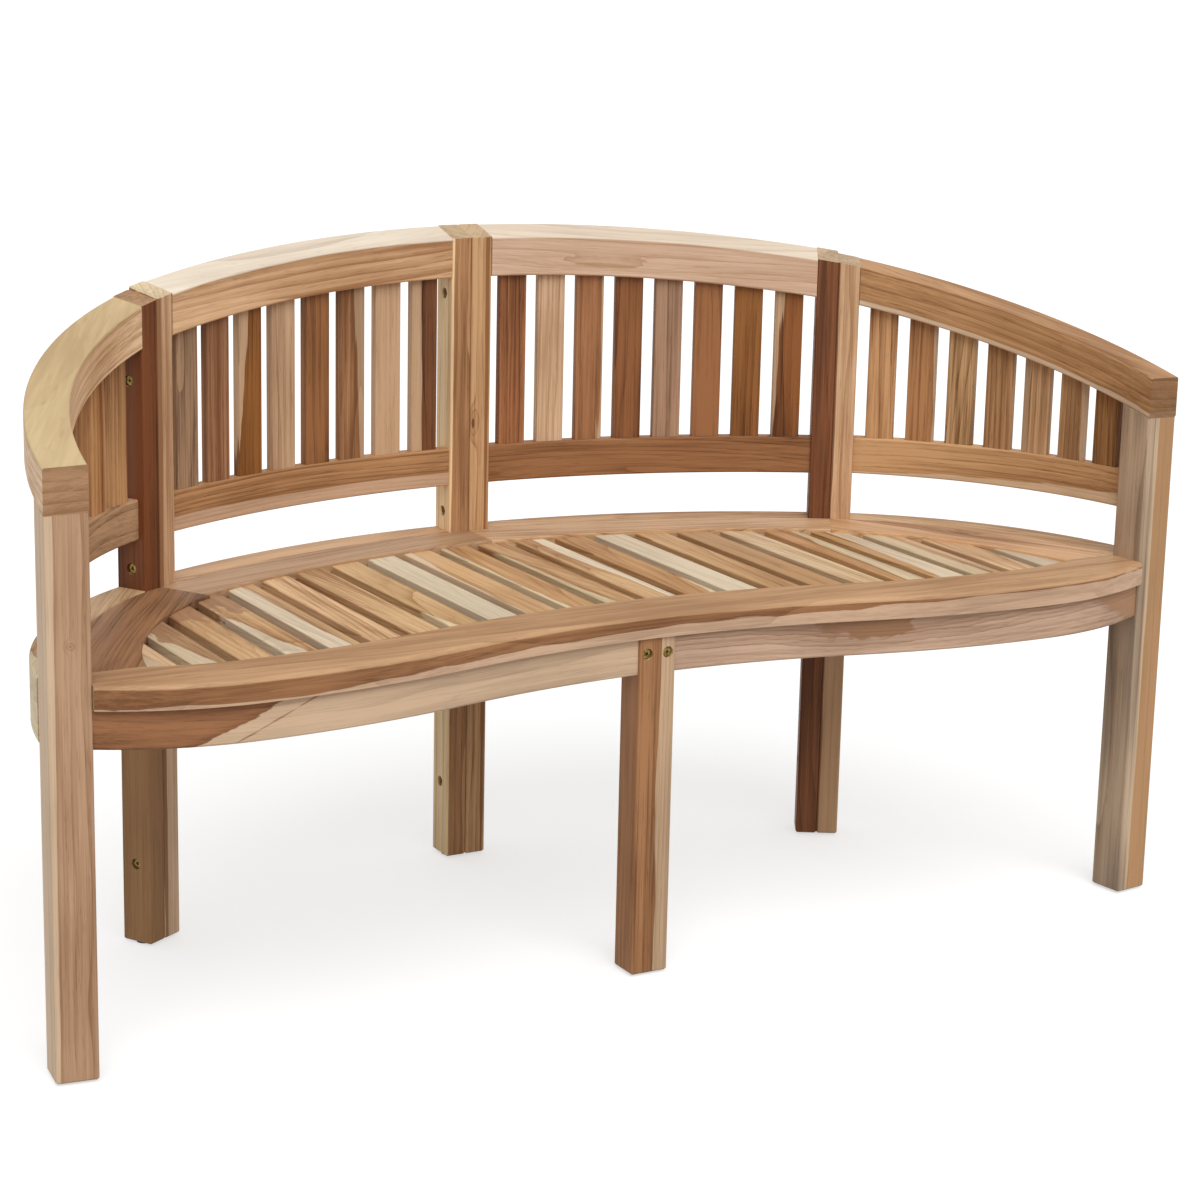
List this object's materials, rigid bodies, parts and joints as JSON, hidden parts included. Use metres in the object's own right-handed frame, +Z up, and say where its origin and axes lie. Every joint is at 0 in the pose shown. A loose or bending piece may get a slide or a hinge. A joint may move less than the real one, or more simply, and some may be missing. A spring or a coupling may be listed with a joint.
{
  "type": "curved garden bench",
  "caption": "Free-standing teak garden bench with a waved seat edge, a slatted seat and a slatted back that curves round to the front posts.",
  "frame": {"origin": "centre of the bounding box in plan, on the floor that the feet stand on", "axes": "+X along the bench, to the right for someone who looks at it from the front, +Y to the back, +Z up"},
  "size_m": [1.524, 0.612, 0.858],
  "materials": {
    "teak_pale": "planed and sanded teak, bare, with its grain showing, pale sapwood",
    "teak_honey": "planed and sanded teak, bare, with its grain showing, honey brown",
    "teak_golden": "planed and sanded teak, bare, with its grain showing, golden tan",
    "teak_brown": "planed and sanded teak, bare, with its grain showing, mid brown",
    "teak_dark": "planed and sanded teak, bare, with its grain showing, dark brown heartwood",
    "brass": "yellow-plated steel, slightly dull",
    "glide_plastic": "dark moulded plastic"
  },
  "bodies": {
    "root": {"back_slats_end_left": "teak_brown", "back_slats_end_right": "teak_brown", "back_slats_middle_left": "teak_brown", "back_slats_middle_right": "teak_brown", "bolts": "brass", "centre_bearer": "teak_honey", "centre_post_left": "teak_brown", "centre_post_right": "teak_pale", "end_board_left": "teak_brown", "end_board_right": "teak_golden", "foot_glides": "glide_plastic", "front_apron_left": "teak_pale", "front_apron_right": "teak_honey", "front_board": "teak_brown", "front_post_left": "teak_pale", "front_post_right": "teak_honey", "lower_rail_end_left": "teak_honey", "lower_rail_end_right": "teak_golden", "lower_rail_middle_left": "teak_honey", "lower_rail_middle_right": "teak_brown", "middle_board_left": "teak_golden", "middle_board_right": "teak_honey", "middle_leg": "teak_honey", "seat_rail_end_left": "teak_golden", "seat_rail_end_right": "teak_golden", "seat_rail_middle_left": "teak_golden", "seat_rail_middle_right": "teak_golden", "seat_slat_01": "teak_pale", "seat_slat_02": "teak_golden", "seat_slat_03": "teak_brown", "seat_slat_04": "teak_honey", "seat_slat_05": "teak_golden", "seat_slat_06": "teak_honey", "seat_slat_07": "teak_pale", "seat_slat_08": "teak_golden", "seat_slat_09": "teak_brown", "seat_slat_10": "teak_honey", "seat_slat_11": "teak_golden", "seat_slat_12": "teak_honey", "seat_slat_13": "teak_pale", "seat_slat_14": "teak_golden", "seat_slat_15": "teak_brown", "seat_slat_16": "teak_honey", "seat_slat_17": "teak_golden", "seat_slat_18": "teak_honey", "seat_slat_19": "teak_pale", "seat_slat_20": "teak_golden", "seat_slat_21": "teak_brown", "seat_slat_22": "teak_honey", "seat_slat_23": "teak_golden", "side_bearers": "teak_honey", "side_post_inner_left": "teak_pale", "side_post_inner_right": "teak_dark", "side_post_outer_left": "teak_dark", "side_post_outer_right": "teak_pale", "sleeve_nuts": "brass", "top_rail_end_left": "teak_golden", "top_rail_end_right": "teak_honey", "top_rail_middle_left": "teak_honey", "top_rail_middle_right": "teak_pale"}
  },
  "joints": []
}
